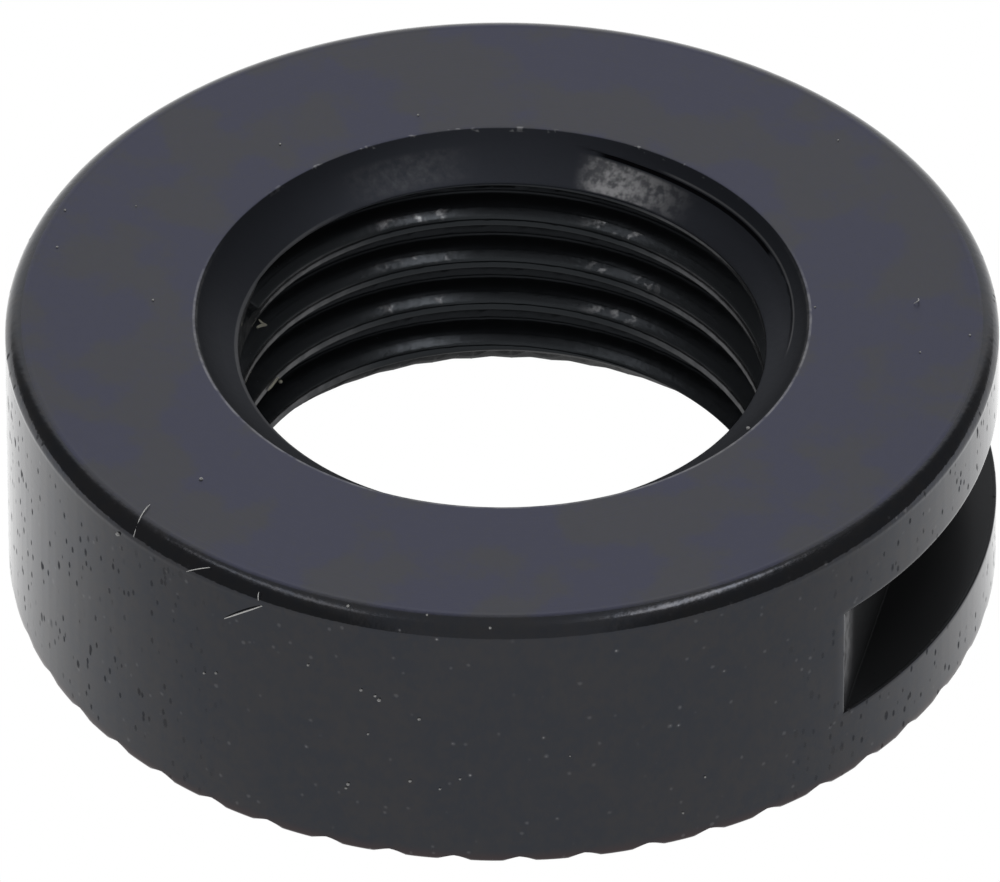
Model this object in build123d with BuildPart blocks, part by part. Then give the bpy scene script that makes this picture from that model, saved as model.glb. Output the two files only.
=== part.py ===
"""Round lock nut with a serrated seat, a spanner slot in its side and an M16 x 1.5 right-hand thread.

The nut is turned from one bar of steel. Millimetres, +Z up along the thread axis, with the origin
on that axis at the serrated seat. The middle of the spanner slot faces +X.
"""
import os
from math import radians, tan

from build123d import *

# Turned ring
outer_diameter = 27.5
height = 8.3
rim_radius = 0.55
foot_break = 0.15

# Thread M16 x 1.5: the bore is left at the crests' diameter
crest_diameter = 14.6
countersink_depth = 1.2
countersink_angle = 90.0
lead_in_depth = 1.35
lead_in_angle = 90.0

# Spanner slot, milled straight across the side wall
slot_floor = 2.3
slot_height = 3.5
slot_depth = 2.35

# Radial serrations pressed into the seat
groove_count = 48
groove_width = 1.0
groove_depth = 0.21
groove_root_radius = 0.12

# How far a cutting solid runs past the face that it leaves through
overrun = 1.0

outer_radius = outer_diameter / 2
crest_radius = crest_diameter / 2
countersink_radius = crest_radius + countersink_depth * tan(radians(countersink_angle / 2))
lead_in_radius = crest_radius + lead_in_depth * tan(radians(lead_in_angle / 2))
slot_wall = outer_radius - slot_depth
slot_middle = slot_floor + slot_height / 2
flank_slope = (groove_width / 2) / groove_depth


# The cutter for one serration: a V with a rounded root, along a radius of the seat
with BuildPart() as groove:
    with BuildSketch(Plane.YZ.offset(crest_radius - overrun)) as groove_profile:
        with BuildLine():
            Polyline(
                (0, groove_depth),
                (flank_slope * (groove_depth + overrun), -overrun),
                (-flank_slope * (groove_depth + overrun), -overrun),
                close=True,
            )
        make_face()
        root = groove_profile.vertices().sort_by(Axis.Y)[-1]
        fillet(root, radius=groove_root_radius)
    extrude(amount=outer_radius - crest_radius + 2 * overrun)


with BuildPart() as lock_nut:
    # The turned ring: half its section, swung once round the axis
    with BuildSketch(Plane.XZ) as section:
        with BuildLine():
            Polyline(
                (lead_in_radius, 0),
                (outer_radius, 0),
                (outer_radius, height),
                (countersink_radius, height),
                (crest_radius, height - countersink_depth),
                (crest_radius, lead_in_depth),
                close=True,
            )
        make_face()
        outer_corners = section.vertices().group_by(Axis.X)[-1].sort_by(Axis.Y)
        fillet(outer_corners[-1], radius=rim_radius)
        outer_corners = section.vertices().group_by(Axis.X)[-1].sort_by(Axis.Y)
        chamfer(outer_corners[0], length=foot_break)
    revolve(axis=Axis.Z)

    # The spanner slot: flat floor, ceiling and back wall
    slot_plane = Plane(origin=(slot_wall, 0, slot_middle), x_dir=(0, 1, 0), z_dir=(1, 0, 0))
    with BuildSketch(slot_plane):
        Rectangle(outer_diameter, slot_height)
    extrude(amount=slot_depth + overrun, mode=Mode.SUBTRACT)

    # The serrations, the first in line with the middle of the slot
    with PolarLocations(0, groove_count):
        add(groove.part, mode=Mode.SUBTRACT)

lock_nut.part.label = "lock_nut"

os.makedirs("parts", exist_ok=True)
export_step(lock_nut.part, "parts/lock_nut.step")
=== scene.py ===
import math

import bmesh
import bpy
import numpy as np
from mathutils import Matrix, Vector


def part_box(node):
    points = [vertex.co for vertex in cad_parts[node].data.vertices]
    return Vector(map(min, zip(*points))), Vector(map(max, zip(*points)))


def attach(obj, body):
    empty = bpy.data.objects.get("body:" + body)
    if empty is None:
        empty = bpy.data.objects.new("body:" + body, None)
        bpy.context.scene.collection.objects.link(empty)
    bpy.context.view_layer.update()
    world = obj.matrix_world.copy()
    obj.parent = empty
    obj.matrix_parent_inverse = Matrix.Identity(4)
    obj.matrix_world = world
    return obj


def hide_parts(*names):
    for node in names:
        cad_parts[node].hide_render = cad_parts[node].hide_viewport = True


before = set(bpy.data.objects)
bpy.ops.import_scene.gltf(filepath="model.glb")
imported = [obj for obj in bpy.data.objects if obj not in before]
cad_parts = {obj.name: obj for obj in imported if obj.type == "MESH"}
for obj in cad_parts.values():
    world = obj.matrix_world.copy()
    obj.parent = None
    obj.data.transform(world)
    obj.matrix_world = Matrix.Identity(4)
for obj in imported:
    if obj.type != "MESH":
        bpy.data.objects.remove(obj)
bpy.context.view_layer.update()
mm = 0.001


# The lock nut is one piece, turned from a bar of steel: its thread is chased, its spanner slot is
# milled across the side, and 48 serrations are pressed into the seat. It is blackened all over.
# The mesh is one closed net: rings of points that run up the wall, over the top and down the bore.
# Lengths are in mm, and a margin is how far the last plain ring lies from a rounding.
low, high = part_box("lock_nut")
outer_radius = (high.x - low.x) / 2 / mm
height = (high.z - low.z) / mm
rim_radius = 0.66
rim_start = math.radians(8)
rim_end = math.radians(74)
rim_steps = 12
top_radii = (12.3, 11.3, 10.3, 9.3)
wall_heights_below_slot = (0.32, 0.6, 1.2, 1.8, 2.15)
wall_heights_above_slot = (5.95, 6.3, 6.8, 7.3)
seat_radii = (9.6, 11.2, 12.8)
foot_radius = 0.17
edge_radius = 0.06
edge_turns = np.radians([0, 15, 30])
wide_margin = 0.1
narrow_margin = 0.03
last_margin = 0.008

crest_radius = 7.3
root_radius = 8.02
thread_pitch = 1.5
groove_mouth = 1.22
lowest_groove = 0.201
flank_slope = math.tan(math.radians(60))
crest_rounding = 0.09
root_rounding = 0.08
crossing_rounding = 0.02
pull_out_start = 6.45
pull_out_slope = 0.9
thread_end = 6.91
thread_end_slope = 15.0
thread_foot = (0.8, 1.4)
thread_head = (7.2, 7.5)

countersink_radius = 8.5
countersink_depth = 1.05
countersink_hollow = 0.4
lead_in_radius = 8.65

ledge_height = 7.92
ledge_sink = 0.146
ledge_rise = 0.515
ledge_depth = 0.03
ledge_width = 0.03
ledge_middle = math.radians(48)
ledge_start = math.radians(3)
ledge_full = math.radians(18)
ledge_end = math.radians(84)
ledge_fade = 0.1
ledge_foot = 7.3
ledge_shoulder = 7.72

slot_floor = 2.3
slot_ceiling = 5.8
slot_depth = 2.35
slot_wall = outer_radius - slot_depth
slot_corner = 0.03
slot_end_step = math.radians(0.2)
slot_end_rounding = 0.012
slot_wall_shares = (0.06, 0.3, 0.5, 0.7, 0.94)

groove_count = 48
groove_step = 2 * math.pi / groove_count
groove_depth = 0.235
groove_half_width = 0.5
groove_root_rounding = 0.05
groove_edge_rounding = 0.05
groove_columns = np.array([-0.53, -0.45, -0.06, 0.0, 0.06, 0.45, 0.53])
land_columns = np.array([0.25, 0.5, 0.75])
on_land = 9.0

bore_rings = 142
bore_samples = 3000
plain_spacing = 0.25
ledge_spacing = 0.035
ledge_rings_from = (7.5, 7.6)
ledge_rings_to = (8.1, 8.2)
crowd_width = 0.05
rings_at_root = 4
rings_at_crest = 5
rings_at_edge = 7


def soft_max(a, b, width):
    """The larger of a and b, with the corner where they cross rounded over about that width."""
    return (a + b + np.sqrt((a - b) ** 2 + width**2)) / 2


def comb(radius):
    """Angles of the net's columns at a radius: seven across each groove and three across each land."""
    across = np.arcsin(groove_columns / radius)
    lands = across[-1] + land_columns * (groove_step - 2 * across[-1])
    starts = np.arange(groove_count)[:, None] * groove_step
    return (starts + np.concatenate([across, lands])).ravel()


def ramp(value, start, end):
    """0 before start and 1 after end, with a smooth rise between them."""
    share = np.clip((value - start) / (end - start), 0, 1)
    return share * share * (3 - 2 * share)


def bore_radius(angle, z):
    """Radius of the bore, the ledge left out: the widest of the thread, countersink and lead-in."""
    turn = angle / (2 * math.pi)
    groove = np.round((z - lowest_groove) / thread_pitch - turn)
    groove_centre = lowest_groove + thread_pitch * (groove + turn)
    stopped = thread_end_slope * np.maximum(0, groove_centre - thread_end)
    pulled_out = pull_out_slope * np.maximum(0, groove_centre - pull_out_start)
    from_centre = z - groove_centre
    lower_flank = crest_radius + (groove_mouth / 2 + from_centre) * flank_slope - stopped
    upper_flank = crest_radius + (groove_mouth / 2 - from_centre) * flank_slope - stopped - pulled_out
    flank = -soft_max(-lower_flank, -upper_flank, root_rounding)
    thread = -soft_max(-soft_max(crest_radius, flank, crest_rounding), -root_radius, root_rounding)

    down = (height - z) / countersink_depth
    hollow = countersink_hollow * down * (1 - down)
    countersink = countersink_radius - (countersink_radius - crest_radius) * down + hollow
    lead_in = lead_in_radius - z
    return soft_max(soft_max(thread, countersink, crossing_rounding), lead_in, crossing_rounding)


def ledge_line(angle):
    """Height of the ledge, a line that the cutter left on the countersink."""
    along = angle - ledge_middle
    return ledge_height + along * along * (along * ledge_rise - ledge_sink)


def ledge_cut(angle, z):
    """How much further out the countersink lies under the ledge."""
    cut = ramp(angle, ledge_start, ledge_full) * (1 - ramp(angle, ledge_end, ledge_end + ledge_fade))
    below = ramp(ledge_line(angle) - z, -ledge_width / 2, ledge_width / 2)
    return ledge_depth * cut * below * ramp(z, ledge_foot, ledge_shoulder)


def crowd(distance, rings_there):
    """Density of rings that draws so many of them to where distance is zero."""
    peak = rings_there / (crowd_width * math.sqrt(2 * math.pi))
    return peak * np.exp(-0.5 * (distance / crowd_width) ** 2)


def between(value, rise, fall):
    """1 from the end of the rise to the start of the fall, and 0 outside them."""
    return ramp(value, *rise) * (1 - ramp(value, *fall))


def quarter(steps):
    """Angles of the points of a quarter round, its two ends included."""
    return np.linspace(0, math.pi / 2, steps + 1)


offsets = np.concatenate([groove_columns, np.full(len(land_columns), on_land)])
offset_from_groove = np.tile(offsets, groove_count)
groove_reach = np.sqrt(offset_from_groove**2 + groove_root_rounding**2) - groove_root_rounding
seat_height = soft_max(0, groove_depth * (1 - groove_reach / groove_half_width), groove_edge_rounding)
seat_height[offset_from_groove == on_land] = 0

rings = []


def add_ring(radius, angle, z):
    """One ring of points, each column at its own radius, angle and height."""
    radius, angle, z = np.broadcast_arrays(radius, angle, z)
    rings.append(np.stack([radius * np.cos(angle), radius * np.sin(angle), z], axis=-1))


# The seat, from the lead-in out, and its rounded foot
inner_comb = comb(lead_in_radius)
add_ring(lead_in_radius - seat_height, inner_comb, seat_height)
for radius in (lead_in_radius + wide_margin, *seat_radii, outer_radius - foot_radius - wide_margin):
    add_ring(radius, comb(radius), seat_height)
for turn in quarter(5):
    radius = outer_radius - foot_radius * (1 - math.sin(turn))
    foot_height = foot_radius * (1 - math.cos(turn))
    add_ring(radius, comb(radius), soft_max(foot_height, seat_height, groove_edge_rounding / 4))

# The side wall, where the columns beside the slot move to its ends
wall_comb = comb(outer_radius)
signed = (wall_comb + math.pi) % (2 * math.pi) - math.pi
slot_end = math.acos(slot_wall / outer_radius)
for side in (-1, 1):
    nearest = np.argsort(np.abs(signed - side * slot_end))[:3]
    for step, column in zip((-1, 0, 1), nearest[np.argsort(signed[nearest])]):
        wall_comb[column] = side * slot_end + step * slot_end_step
signed = (wall_comb + math.pi) % (2 * math.pi) - math.pi
back_wall = np.where(np.abs(signed) < slot_end, slot_wall / np.cos(signed), outer_radius)
at_end = np.abs(np.abs(signed) - slot_end) < slot_end_step / 2
back_wall[at_end] = outer_radius - slot_end_rounding
cut_depth = outer_radius - back_wall
edge = np.minimum(edge_radius, cut_depth / 3)
corner = np.minimum(slot_corner, cut_depth / 3)


def add_slot_edge(level, outward, turn):
    """A ring of the slot's rounded edge; outward is -1 under its floor and 1 over its ceiling."""
    z = level + outward * edge * (1 - math.sin(turn))
    add_ring(outer_radius - edge * (1 - math.cos(turn)), wall_comb, z)


def add_slot_corner(level, outward, turn):
    """A ring of the slot's inner corner, at its floor or at its ceiling."""
    z = level - outward * corner * (1 - math.cos(turn))
    add_ring(back_wall + corner * (1 - math.sin(turn)), wall_comb, z)


for z in wall_heights_below_slot:
    add_ring(outer_radius, wall_comb, z)
for turn in quarter(3):
    add_slot_edge(slot_floor, -1, turn)
add_ring(outer_radius - cut_depth / 2, wall_comb, slot_floor)
for turn in quarter(3):
    add_slot_corner(slot_floor, -1, turn)
for share in slot_wall_shares:
    add_ring(back_wall, wall_comb, slot_floor + share * (slot_ceiling - slot_floor))
for turn in quarter(3)[::-1]:
    add_slot_corner(slot_ceiling, 1, turn)
add_ring(outer_radius - cut_depth / 2, wall_comb, slot_ceiling)
for turn in quarter(3)[::-1]:
    add_slot_edge(slot_ceiling, 1, turn)
wall_top = height - rim_radius * (math.cos(rim_start) - math.cos(rim_end))
for z in (*wall_heights_above_slot, wall_top - edge_radius, wall_top - last_margin):
    add_ring(outer_radius, wall_comb, z)

# The rounded rim, the top face and the edge of the countersink
outer_comb = comb(outer_radius)
for turn in np.linspace(rim_end, rim_start, rim_steps):
    add_ring(
        outer_radius - rim_radius * (math.sin(rim_end) - math.sin(turn)),
        outer_comb,
        height - rim_radius * (math.cos(rim_start) - math.cos(turn)),
    )
top_edge = outer_radius - rim_radius * (math.sin(rim_end) - math.sin(rim_start))
for radius in (top_edge - narrow_margin, *top_radii, countersink_radius + 2 * edge_radius):
    add_ring(radius, outer_comb, height)
edge_reach = edge_radius * math.tan(math.radians(22.5))
for turn in edge_turns:
    add_ring(
        countersink_radius + edge_reach - edge_radius * math.sin(turn),
        outer_comb,
        height - edge_radius * (1 - math.cos(turn)),
    )


def bore_columns(depth):
    """Angles of the columns in the bore, where they pass from the top's comb to the seat's comb."""
    return outer_comb + (inner_comb - outer_comb) * np.clip(1.1 * depth - 0.1, 0, 1)


# The bore: the rings of each column crowd at the corners of the thread, at the countersink's inner
# edge, at the ledge and at the lead-in
depth = np.linspace(0, 1, bore_samples)[:, None]
bore_top = height - edge_reach * math.sin(math.radians(45))
bore_z = bore_top + (seat_height - bore_top) * depth
pitches = (bore_z - lowest_groove) / thread_pitch - bore_columns(depth) / (2 * math.pi)
from_groove = np.abs(pitches - np.round(pitches)) * thread_pitch
root_corner = groove_mouth / 2 - (root_radius - crest_radius) / flank_slope
at_corners = crowd(from_groove - root_corner, rings_at_root)
at_corners += crowd(from_groove - groove_mouth / 2, rings_at_crest)
weight = 1 / plain_spacing + at_corners * between(bore_z, thread_foot, thread_head)
weight += crowd(bore_z - (height - countersink_depth), rings_at_edge)
weight += crowd(bore_z - (lead_in_radius - crest_radius), rings_at_edge)
weight += between(bore_z, ledge_rings_from, ledge_rings_to) / ledge_spacing
weight = np.cumsum(weight, axis=0)
weight = (weight - weight[0]) / (weight[-1] - weight[0])
shares = np.arange(bore_rings) / bore_rings
picked = np.stack([np.interp(shares, column, depth[:, 0]) for column in weight.T], axis=1)
ring_z = bore_top + (seat_height - bore_top) * picked
for angle, z in zip(bore_columns(picked), ring_z):
    add_ring(bore_radius(angle, z) + ledge_cut(angle, z), angle, z)

points = np.concatenate(rings) * mm
ring_count = len(rings)
column_count = len(outer_comb)
here = np.arange(ring_count * column_count).reshape(ring_count, column_count)
right = np.roll(here, -1, axis=1)
up = np.roll(here, -1, axis=0)
up_right = np.roll(right, -1, axis=0)
quads = np.stack([here, right, up_right, up], axis=-1).reshape(-1, 4)

nut_mesh = bpy.data.meshes.new("lock_nut_finish")
nut_mesh.from_pydata(points.tolist(), [], quads.tolist())
net = bmesh.new()
net.from_mesh(nut_mesh)
bmesh.ops.remove_doubles(net, verts=net.verts, dist=1e-7)
bmesh.ops.recalc_face_normals(net, faces=net.faces)
for face in net.faces:
    face.smooth = True
sharp_angle = math.radians(32)
for seam in net.edges:
    seam.smooth = not (seam.is_manifold and seam.calc_face_angle() > sharp_angle)
net.to_mesh(nut_mesh)
net.free()
nut = bpy.data.objects.new("lock_nut_finish", nut_mesh)
bpy.context.scene.collection.objects.link(nut)
weighted = nut.modifiers.new("flat_faces_first", "WEIGHTED_NORMAL")
weighted.keep_sharp = True
weighted.mode = "FACE_AREA_WITH_ANGLE"


class Field:
    """A value that varies over a surface: one socket of a node tree, on which sums can be written."""

    def __init__(self, tree, socket=None):
        self.tree = tree
        self.socket = socket

    def node(self, kind, inputs, output=0, **settings):
        """Adds a node: its settings first, then the values or links of its sockets."""
        made = self.tree.nodes.new(kind)
        for name, setting in settings.items():
            setattr(made, name, setting)
        for name, value in inputs.items():
            if isinstance(value, Field):
                self.tree.links.new(value.socket, made.inputs[name])
            else:
                made.inputs[name].default_value = value
        return Field(self.tree, made.outputs[output])

    def maths(self, operation, *values):
        return self.node("ShaderNodeMath", dict(enumerate(values)), operation=operation)

    def __add__(self, other):
        return self.maths("ADD", self, other)

    def __sub__(self, other):
        return self.maths("SUBTRACT", self, other)

    def __rsub__(self, other):
        return self.maths("SUBTRACT", other, self)

    def __mul__(self, other):
        return self.maths("MULTIPLY", self, other)

    def __truediv__(self, other):
        return self.maths("DIVIDE", self, other)

    __radd__ = __add__
    __rmul__ = __mul__

    def unsigned(self):
        """The value without its sign."""
        return self.maths("ABSOLUTE", self)

    def root(self):
        """The square root of the value."""
        return self.maths("SQRT", self)

    def at_most(self, limit):
        return self.maths("MINIMUM", self, limit)

    def at_least(self, limit):
        return self.maths("MAXIMUM", self, limit)

    def step(self, start, end):
        """0 at start and 1 at end, with a smooth change between them."""
        ends = {"Value": self, "From Min": start, "From Max": end}
        return self.node("ShaderNodeMapRange", ends, interpolation_type="SMOOTHSTEP")

    def band(self, start, end, fade):
        """1 from start to end, and 0 further than fade outside them."""
        return self.step(start - fade, start) * self.step(end + fade, end)

    def mix(self, first, second):
        """The colour first where this value is 0, and second where it is 1."""
        colours = {"Factor": self, "A": first, "B": second}
        return self.node("ShaderNodeMix", colours, output=2, data_type="RGBA")

    def to(self, socket):
        self.tree.links.new(self.socket, socket)


def new_material(name):
    """A material, its node tree as a Field without a socket, and its main shader."""
    material = bpy.data.materials.new(name)
    material.use_nodes = True
    tree = material.node_tree
    return material, Field(tree), tree.nodes["Principled BSDF"]


# The blackened finish: its colours, painted highlights and shade among them, then where its marks lie, in
# mm and in radians round the axis
wall_colour = (0.052, 0.052, 0.056, 1)
wall_blue = (0.045, 0.048, 0.056, 1)
foot_colour = (0.062, 0.051, 0.053, 1)
top_colour = (0.064, 0.065, 0.074, 1)
top_blue = (0.059, 0.061, 0.088, 1)
cone_colour = (0.036, 0.039, 0.048, 1)
bore_colour = (0.048, 0.053, 0.058, 1)
flank_colour = (0.033, 0.036, 0.040, 1)
slot_colour = (0.042, 0.043, 0.046, 1)
# The slot's back wall fades to this darker colour away from its left end: painted shade under the ceiling.
slot_shade_colour = (0.034, 0.035, 0.037, 1)
# Bare steel's colour, which also paints the highlights and glints below.
bare_and_highlight_colour = (0.33, 0.33, 0.34, 1)
# Painted shade: near-black laid into the corner under the ledge.
corner_shade_colour = (0.004, 0.004, 0.005, 1)
metal_share = 0.96
# The turn of the side that faces the camera: wear, pits and painted highlights are placed by it.
toward_camera_turn = math.radians(13)
fine_marks = 26.0
mark_length = 1.2
pit_layers = ((1.6, 0.16), (3.4, 0.24))
pit_stretch = (1, 1, 0.5)
pitted_from = (6.5, 10.0)
countersink_foot = 7.3
full_countersink = 7.36
# Angles of the painted shade in the ledge's corner and of the painted highlight over it
corner_turns = (math.radians(38), math.radians(82))
highlight_over_ledge_turns = (math.radians(10), math.radians(66))
# Where the painted glint and sheen on the countersink lie
cone_glint_rise = (1.02, 1.38)
cone_glint_fall = (1.54, 1.42)
left_cone_sheen = (2.1, 2.2)
# Where the painted glints on the thread's flanks lie
right_flank_glint = (1.25, 1.4)
left_flank_glint = (2.08, 2.2)

steel, field, shader = new_material("blackened_steel")
position = field.node("ShaderNodeTexCoord", {}, output="Object")
in_mm = field.node("ShaderNodeVectorMath", {0: position, "Scale": 1 / mm}, operation="SCALE")
x = field.node("ShaderNodeSeparateXYZ", {0: in_mm}, output="X")
y = field.node("ShaderNodeSeparateXYZ", {0: in_mm}, output="Y")
z = field.node("ShaderNodeSeparateXYZ", {0: in_mm}, output="Z")
from_axis = (x * x + y * y).root()
around = y.maths("ARCTAN2", y, x)
behind = y * math.cos(toward_camera_turn) - x * math.sin(toward_camera_turn)
beside = x * math.cos(toward_camera_turn) + y * math.sin(toward_camera_turn)

on_wall = from_axis.step(outer_radius - 0.15, outer_radius - 0.05)
on_top = z.step(height - 0.03, height - 0.005)
inside = from_axis.step(countersink_radius + 0.02, countersink_radius - 0.02)
in_bore = inside * z.step(7.27, 7.17)
over_floor = z.step(slot_floor - 0.03, slot_floor - 0.01)
under_ceiling = z.step(slot_ceiling + 0.03, slot_ceiling + 0.01)
in_slot = x.step(slot_wall - 0.02, slot_wall) * from_axis.step(outer_radius - 0.01, outer_radius - 0.03)
in_slot = in_slot * over_floor * under_ceiling

turned = field.node("ShaderNodeCombineXYZ", {
    "X": from_axis * fine_marks,
    "Y": around * mark_length,
    "Z": z * fine_marks,
})
turning_marks = field.node("ShaderNodeTexNoise", {"Vector": turned, "Scale": 1.0, "Detail": 0.0})
cloud = field.node("ShaderNodeTexNoise", {"Vector": in_mm, "Scale": 0.4, "Detail": 2.0, "Roughness": 0.6})
grain = field.node("ShaderNodeTexNoise", {"Vector": in_mm, "Scale": 3.5, "Detail": 2.0, "Roughness": 0.7})
nicks = field.node("ShaderNodeTexNoise", {"Vector": in_mm, "Scale": 2.6, "Detail": 2.0, "Roughness": 0.65})

# Pits in the wall, longer up and down than across, and specks where it is rubbed bare
tall = field.node("ShaderNodeVectorMath", {0: in_mm, 1: pit_stretch}, operation="MULTIPLY")
pits = 0
for pit_scale, pit_size in pit_layers:
    cells = field.node("ShaderNodeTexVoronoi", {"Vector": tall, "Scale": pit_scale, "Randomness": 1.0})
    pits = cells.step(pit_size, 0.5 * pit_size) + pits
from_middle = beside.unsigned()
pits = on_wall * pits * cloud.step(0.32, 0.5) * from_middle.step(*pitted_from)
pits = pits.at_most(1.0)
rubbed = field.node("ShaderNodeTexVoronoi", {"Vector": in_mm, "Scale": 1.9, "Randomness": 1.0})
soft_rubs = (rubbed + (grain - 0.5) * 0.25).step(0.15, 0.04)
specks = on_wall * (rubbed.step(0.07, 0.04) * cloud.step(0.55, 0.6) * 0.5 + soft_rubs * 0.13)

# Painted shade in the corner under the ledge, and a painted highlight in a line above it
over_ledge = z - ledge_line(around)
painted_corner_shade = over_ledge.band(-0.07, 0.0, 0.02) * around.band(*corner_turns, 0.05) * inside
highlight_over_ledge = over_ledge.band(0.05, 0.07, 0.02) * around.band(*highlight_over_ledge_turns, 0.1) * inside

# Bare metal specks on the back of the countersink's top edge, where it is rubbed; along the front of that
# edge and on the cone's inner edge at the left, painted highlights in the same colour
on_edge = (from_axis - countersink_radius).band(-0.05, 0.05, 0.03) * z.step(height - 0.12, height - 0.09)
front_edge_highlight = behind.step(4.0, 0.0) * nicks.step(0.2, 0.7) * 0.4
back_wear = behind.step(5.0, 7.0) * nicks.step(0.6, 0.7) * 0.5
edge_wear_and_highlight = on_edge * (front_edge_highlight + back_wear)
inner_edge_highlight = from_axis.band(7.3, 7.4, 0.03) * z.band(7.18, 7.36, 0.04) * beside.step(-4.0, -6.0) * 0.25

# Painted highlights on the countersink: the glint of a lamp, broken up by noise, and a faint sheen to the
# left of it
cone_glints = around.step(*cone_glint_rise) * around.step(*cone_glint_fall) * z.band(7.3, 7.9, 0.05)
cone_glints = cone_glints * over_ledge.step(-0.08, -0.16) * (0.25 + (grain + nicks).step(0.8, 1.2) * 0.75)
cone_glints = cone_glints + around.band(*left_cone_sheen, 0.25) * z.band(7.4, 7.85, 0.15) * grain.step(0.2, 0.9) * 0.14
cone_glints = cone_glints * inside * from_axis.step(countersink_foot, full_countersink)

# Painted highlights: glints on the flanks of the thread, brighter crests at its left and right, and light
# on the lip at the slot's left end
on_flank = in_bore * from_axis.band(7.36, 7.6, 0.03)
flank_glints = around.band(*right_flank_glint, 0.12) + around.band(*left_flank_glint, 0.14)
flank_glints = on_flank * z.band(2.0, 6.5, 0.2) * flank_glints * nicks.step(0.54, 0.68) * 0.4
on_crest = in_bore * from_axis.step(7.38, 7.33)
crest_highlights = on_crest * from_middle.step(3.0, 6.5) * (0.3 + nicks.step(0.3, 0.7) * 0.3)
slot_lip_highlight = in_slot * y.step(-6.3, -7.4) * z.step(2.3, 4.4) * (0.35 + nicks.step(0.35, 0.65) * 0.4)
bare_and_highlights = edge_wear_and_highlight + slot_lip_highlight + inner_edge_highlight + cone_glints + flank_glints + crest_highlights + specks + highlight_over_ledge * 0.35
bare_and_highlights = bare_and_highlights.at_most(1.0)

speckle = field.node("ShaderNodeTexNoise", {"Vector": in_mm, "Scale": 9.0, "Detail": 1.0, "Roughness": 0.6})
top_tint = cloud.step(0.42, 0.58) + (speckle - 0.5) * 1.2
wall_tint = cloud.step(0.42, 0.58) * 0.4 + nicks.step(0.35, 0.65) * 0.6 + (speckle - 0.5) * 1.2

# The colour: each place in turn over the last, with painted shade in the slot, then the bare metal and the
# painted highlights, then the painted shade in the ledge's corner
tone = on_top.mix(wall_tint.mix(wall_colour, wall_blue), top_tint.mix(top_colour, top_blue))
tone = (on_wall * z.step(0.5, 0.1)).mix(tone, foot_colour)
thread_tone = from_axis.step(7.34, 7.45).mix(bore_colour, flank_colour)
tone = inside.mix(tone, in_bore.mix(cone_colour, thread_tone))
# Painted shade: the slot is darker away from its left end.
tone = in_slot.mix(tone, y.step(-7.2, -6.0).mix(slot_colour, slot_shade_colour))
tone = bare_and_highlights.mix(tone, bare_and_highlight_colour)
tone = painted_corner_shade.mix(tone, corner_shade_colour)
tone.to(shader.inputs["Base Color"])
metallic = metal_share - pits * 0.8 - painted_corner_shade * 0.9 - in_slot * 0.45 - slot_lip_highlight * 0.5 - in_bore * 0.15
metallic.to(shader.inputs["Metallic"])
roughness = 0.19 - on_wall * 0.1 + on_top * 0.18 + in_slot * 0.11 + pits * 0.3
roughness = roughness + inside * 0.29 - in_bore * 0.23 - on_crest * 0.14 + (grain - 0.5) * 0.1
roughness.to(shader.inputs["Roughness"])
shader.inputs["Specular IOR Level"].default_value = 0.0

# The relief: fine rings from the turning, and a grain that is coarser in the bore and on the rim
on_rim = from_axis.step(13.1, 13.2) * z.step(7.7, 7.8)
coarseness = 0.5 + inside * 1.5 + on_flank * 2.0 + on_rim * 3.0
relief = turning_marks * (0.3 + on_top * 0.2) + grain * coarseness
bump = field.node("ShaderNodeBump", {"Height": relief, "Strength": 0.35, "Distance": 0.006 * mm})
bump.to(shader.inputs["Normal"])

nut.data.materials.append(steel)
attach(nut, "root")
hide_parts("lock_nut")


# The camera stands 0.62 m away and looks down at the nut, with the slot at its right. Lint, dust and
# burrs are placed by the pixels at which it sees them, each at the face that carries it.
camera_azimuth = math.radians(13)
camera_elevation = math.radians(38.41)
camera_distance = 45 * outer_radius * mm
pixels_wide = 1000
pixels_high = 882
pixels_for_radius = 495.19
sensor_width = 36.0
centre_right = 2.15
centre_up = 8.0
focal_pixels = pixels_for_radius * camera_distance / (outer_radius * mm)
aim = np.array([0, 0, height * mm / 2])
away = np.array([
    math.sin(camera_azimuth) * math.cos(camera_elevation),
    -math.cos(camera_azimuth) * math.cos(camera_elevation),
    math.sin(camera_elevation),
])
camera_right = np.array([math.cos(camera_azimuth), math.sin(camera_azimuth), 0])
camera_up = np.cross(away, camera_right)

scene = bpy.context.scene
lens = bpy.data.cameras.new("camera")
camera = bpy.data.objects.new("camera", lens)
scene.collection.objects.link(camera)
camera.location = aim + away * camera_distance
camera.rotation_euler = (math.pi / 2 - camera_elevation, 0, camera_azimuth)
lens.sensor_width = sensor_width
lens.lens = sensor_width * focal_pixels / pixels_wide
lens.shift_x = -centre_right / pixels_wide
lens.shift_y = -centre_up / pixels_wide
lens.clip_end = 10
scene.camera = camera

eye = (aim + away * camera_distance) / mm


def line_of_sight(column, row):
    """The direction in which the camera sees a pixel."""
    across = (column - pixels_wide / 2 - centre_right) / focal_pixels
    upward = (pixels_high / 2 - centre_up - row) / focal_pixels
    return across * camera_right + upward * camera_up - away


def on_level(column, row, level):
    """The place in mm that the camera sees at a pixel, at a height over the seat."""
    sight = line_of_sight(column, row)
    return eye + sight * (level - eye[2]) / sight[2]


def on_round(column, row, radius, side):
    """The place in mm that the camera sees at a pixel, at a distance from the axis.

    side is -1 where the line of sight enters that round, and 1 where it leaves it.
    """
    sight = line_of_sight(column, row)
    level_run = math.hypot(sight[0], sight[1])
    halfway = -(eye[:2] @ sight[:2]) / level_run**2
    off_axis = np.linalg.norm(eye[:2] + halfway * sight[:2])
    half_chord = math.sqrt(radius**2 - off_axis**2)
    return eye + sight * (halfway + side * half_chord / level_run)


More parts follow.
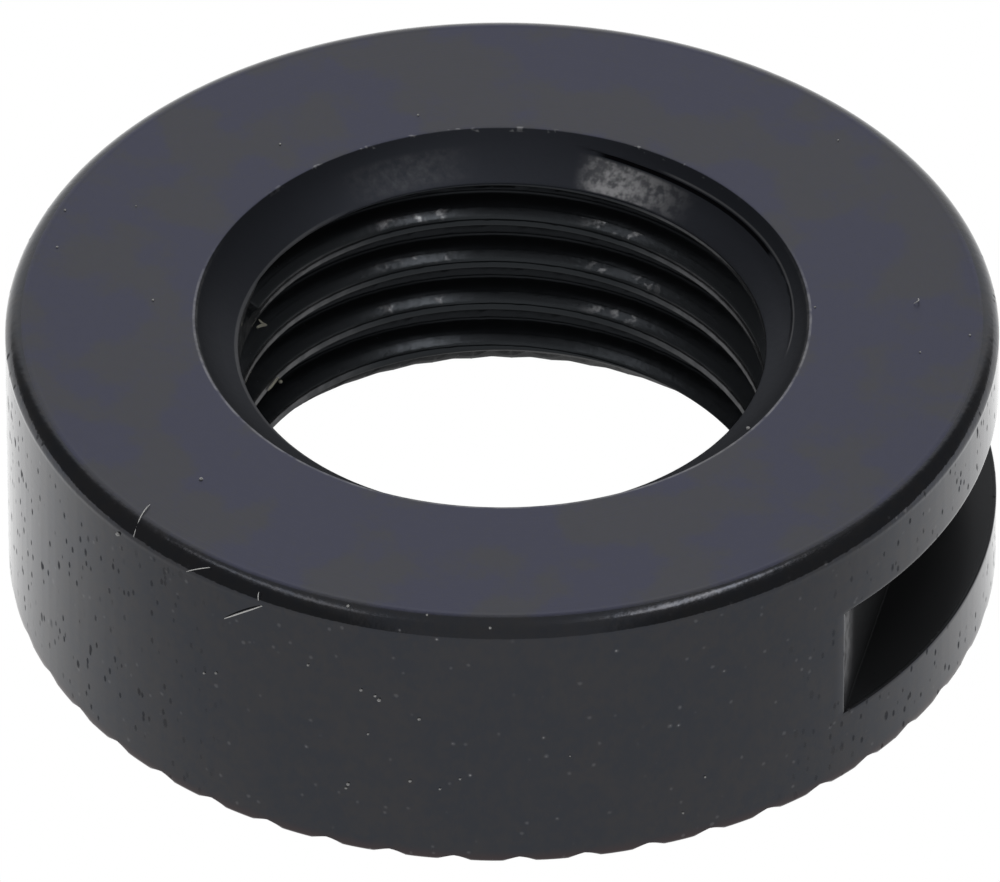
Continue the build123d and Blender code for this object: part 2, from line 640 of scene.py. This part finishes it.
# Lint lies on the nut: pale fibres over the left of the rim, and grains on the top and the wall.
# It is loose dirt, so it replaces no part of the CAD model.
fibre_radius = 0.016
fibre_steps = 10
fibre_sides = 6
fibre_twist = (0.31, 0.17, 0.94)
grain_flatness = Vector((1.3, 1.3, 1.0))


def over_rim(column, row, radius):
    """A place beside the wall or over the rim, on the side of the camera."""
    return on_round(column, row, radius, -1)


def add_strand(net, start, bend, end, radius):
    """A thin round strand that curves from start to end, drawn toward bend."""
    shares = np.linspace(0, 1, fibre_steps)[:, None]
    path = (1 - shares) ** 2 * start + 2 * shares * (1 - shares) * bend + shares**2 * end
    forward = np.gradient(path, axis=0)
    sideways = np.cross(forward, fibre_twist)
    sideways /= np.linalg.norm(sideways, axis=1)[:, None]
    upward = np.cross(sideways, forward)
    upward /= np.linalg.norm(upward, axis=1)[:, None]
    turns = np.arange(fibre_sides) * 2 * math.pi / fibre_sides
    taper = radius * (1 - 0.5 * np.abs(2 * shares - 1) ** 3)
    loops = []
    for turn in turns:
        outward = math.cos(turn) * sideways + math.sin(turn) * upward
        loops.append((path + taper * outward) * mm)
    verts = [[net.verts.new(loop[step]) for loop in loops] for step in range(fibre_steps)]
    for one, two in zip(verts, verts[1:]):
        for side in range(fibre_sides):
            after = (side + 1) % fibre_sides
            net.faces.new((one[side], one[after], two[after], two[side]))
    net.faces.new(verts[0][::-1])
    net.faces.new(verts[-1])


def add_grain(net, place, radius):
    """A small grain, flattened a little."""
    shape = Matrix.LocRotScale(Vector(place * mm), None, grain_flatness * radius * mm)
    bmesh.ops.create_icosphere(net, subdivisions=1, radius=1.0, matrix=shape)


def finish_bits(name, net, colour_a, colour_b, metal):
    """Turns the strands and grains into a piece with a mottled material of its own."""
    bmesh.ops.recalc_face_normals(net, faces=net.faces)
    mesh = bpy.data.meshes.new(name)
    net.to_mesh(mesh)
    net.free()
    piece = bpy.data.objects.new(name, mesh)
    bpy.context.scene.collection.objects.link(piece)
    material, field, shader = new_material(name + "_surface")
    mottle = field.node("ShaderNodeTexNoise", {"Scale": 2.0 / mm, "Detail": 2.0})
    mottle.mix(colour_a, colour_b).to(shader.inputs["Base Color"])
    shader.inputs["Roughness"].default_value = 0.6
    shader.inputs["Metallic"].default_value = metal
    mesh.materials.append(material)
    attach(piece, "root")


# Each fibre: the places of its start, its bend and its end, and its share of fibre_radius
fibres = (
    (over_rim(224.5, 618.5, 13.79), over_rim(241, 613, 13.90), over_rim(262, 606, 13.76), 1.3),
    (over_rim(133.5, 537, 13.74), over_rim(140, 512.5, 13.32), over_rim(150, 504.5, 12.80), 1.0),
    (over_rim(186.5, 571.5, 13.77), over_rim(197, 568.5, 13.76), over_rim(210, 567.5, 13.62), 0.8),
    (over_rim(259, 592, 13.70), over_rim(257.5, 596, 13.78), over_rim(258.5, 600.5, 13.78), 0.8),
    (on_level(914, 303.5, 8.32), on_level(921, 300, 8.50), on_level(918, 298.5, 8.32), 0.9),
)

# Each grain: the column and row of its pixel, its height if it lies on an edge, and its radius
grain_lift = 0.01
wall_grains = (
    (118, 534, 0.06), (204, 673, 0.035), (216, 673, 0.035), (410, 781, 0.04), (570, 756, 0.02),
    (683, 813, 0.03), (705, 777, 0.03), (308, 665, 0.035), (361, 690, 0.04), (375, 696, 0.035),
    (379, 700, 0.05), (368, 734, 0.03), (419, 719, 0.04), (348, 784, 0.045), (346, 788, 0.035),
    (460, 779, 0.03), (440, 789, 0.03),
)
top_grains = (
    (201, 479, 0.05), (65, 210, 0.03), (57, 247, 0.03), (136, 206, 0.02), (153, 300, 0.03),
    (280, 144, 0.03), (418, 115, 0.03), (970, 335, 0.03), (920, 352, 0.025), (838, 140, 0.025),
    (815, 307, 0.025),
)
edge_grains = (
    (748, 428, 8.30, 0.045), (348, 606, 8.25, 0.04), (427, 615, 8.28, 0.03),
    (490, 628, 8.14, 0.035),
)
net = bmesh.new()
for start, bend, end, thickness in fibres:
    add_strand(net, start, bend, end, fibre_radius * thickness)
finish_bits("lint", net, (0.55, 0.55, 0.54, 1), (0.8, 0.8, 0.78, 1), 0.0)
net = bmesh.new()
for column, row, size in wall_grains:
    add_grain(net, over_rim(column, row, outer_radius + grain_lift), size)
for column, row, size in top_grains:
    add_grain(net, on_level(column, row, height + grain_lift), size)
for column, row, level, size in edge_grains:
    add_grain(net, on_level(column, row, level), size)
finish_bits("dust", net, (0.24, 0.24, 0.24, 1), (0.5, 0.5, 0.49, 1), 0.0)


# Burrs of bare steel were left in the thread: a hook where its last turn ends, and a torn spot on
# the crest two turns lower.
torn_grain_radius = 0.05


def in_thread(column, row, radius):
    """A place by the crests of the thread, on the side of the bore that the camera sees."""
    return on_round(column, row, radius, 1)


# Each burr: the places of its start, its bend and its end, and its radius
burrs = (
    (in_thread(257, 327.5, 7.27), in_thread(262.5, 324, 7.26), in_thread(266.5, 325, 7.27), 0.048),
    (in_thread(266, 325, 7.27), in_thread(262.5, 324, 7.27), in_thread(259, 319.5, 7.27), 0.03),
    (in_thread(268, 390.5, 7.27), in_thread(273.5, 383.5, 7.25), in_thread(278, 377.5, 7.27), 0.039),
)
net = bmesh.new()
for start, bend, end, thickness in burrs:
    add_strand(net, start, bend, end, thickness)
add_grain(net, in_thread(280.5, 381.5, 7.27), torn_grain_radius)
finish_bits("thread_burrs", net, (0.34, 0.33, 0.27, 1), (0.52, 0.50, 0.42, 1), 0.5)


# The floor is a pale table top that glows instead of being lit: painted shade dims its glow inside the
# nut's hole and under its lip, and it is brighter far away, most of all behind the nut.
# The camera sees it overexposed, so it is plain white there.
floor_size = 3.0
hole_glow = 0.43
lip_glow = 0.2
front_glow = 0.78
back_glow = 1.15
light_azimuth = math.radians(13)
bpy.ops.mesh.primitive_plane_add(size=floor_size)
floor = bpy.context.object
floor.name = "floor"
paint, field, shader = new_material("pale_floor")
position = field.node("ShaderNodeTexCoord", {}, output="Object")
from_nut = field.node("ShaderNodeVectorMath", {0: position}, output=1, operation="LENGTH") / mm
toward_back = (-math.sin(light_azimuth) / mm, math.cos(light_azimuth) / mm, 0)
along_view = {0: position, 1: toward_back}
behind = field.node("ShaderNodeVectorMath", along_view, output=1, operation="DOT_PRODUCT")
# Painted shade: the open floor glows dimmer in front of the nut than behind it.
open_floor = front_glow + (back_glow - front_glow) * behind.step(-15, 6)
# Painted shadow of the nut: a dim glow in its hole, darker still under its lip.
shade_under_nut = hole_glow + (lip_glow - hole_glow) * from_nut.step(5.5, 8.0)
glow = shade_under_nut + (open_floor - shade_under_nut) * from_nut.step(9, 13)
grain = field.node("ShaderNodeTexNoise", {"Scale": 40.0, "Detail": 2.0})
glow = glow * (0.98 + grain * 0.04)
lit = field.node("ShaderNodeEmission", {"Color": (1, 1, 1, 1), "Strength": glow})
white = field.node("ShaderNodeEmission", {"Color": (1, 1, 1, 1), "Strength": 1.0})
seen = field.node("ShaderNodeLightPath", {}, output="Is Camera Ray")
shown = field.node("ShaderNodeMixShader", {0: seen, 1: lit, 2: white})
shown.to(paint.node_tree.nodes["Material Output"].inputs["Surface"])
floor.data.materials.append(paint)


# The studio is a tent: a white panel behind the nut, dim sides, and two lamp strips in the roof,
# to the left and the right.
panel_light = 1.05
roof_light = 0.46
side_light = 0.2
strips = (((0.36, -0.33), (0.38, 0.25), 7.0), ((-0.38, -0.33), (-0.5, 0.3), 2.4))
strip_half_width = 0.06

scene.view_settings.view_transform = "Standard"
world = bpy.data.worlds.new("studio")
scene.world = world
world.use_nodes = True
field = Field(world.node_tree)
background = world.node_tree.nodes["Background"]
direction = field.node("ShaderNodeTexCoord", {}, output="Generated")
to_right = tuple(camera_right)
to_back = (-math.sin(camera_azimuth), math.cos(camera_azimuth), 0)
right = field.node("ShaderNodeVectorMath", {0: direction, 1: to_right}, output=1, operation="DOT_PRODUCT")
back = field.node("ShaderNodeVectorMath", {0: direction, 1: to_back}, output=1, operation="DOT_PRODUCT")
upward = field.node("ShaderNodeVectorMath", {0: direction, 1: (0, 0, 1)}, output=1, operation="DOT_PRODUCT")
sideways = right.unsigned()
tent = side_light + (roof_light - side_light) * sideways.step(0.55, 0.28)
deep = back.at_least(0.05)
panel = back.step(0.05, 0.15) * (sideways / deep).step(1.05, 0.7) * (upward / deep).step(1.75, 1.4)
light = tent + panel * (panel_light - tent)
roof = upward.at_least(0.05)
for (start_x, start_y), (end_x, end_y), strength in strips:
    length = math.hypot(end_x - start_x, end_y - start_y)
    run_x = (end_x - start_x) / length
    run_y = (end_y - start_y) / length
    roof_x = right / roof - start_x
    roof_y = back / roof - start_y
    along = roof_x * run_x + roof_y * run_y
    beside = (roof_x * run_y - roof_y * run_x).unsigned()
    lamp = along.step(-0.05, 0.1) * along.step(length + 0.05, length - 0.1)
    light = light + strength * lamp * beside.step(1.4 * strip_half_width, 0.6 * strip_half_width)
light.to(background.inputs["Strength"])
background.inputs["Color"].default_value = (1, 1, 1, 1)
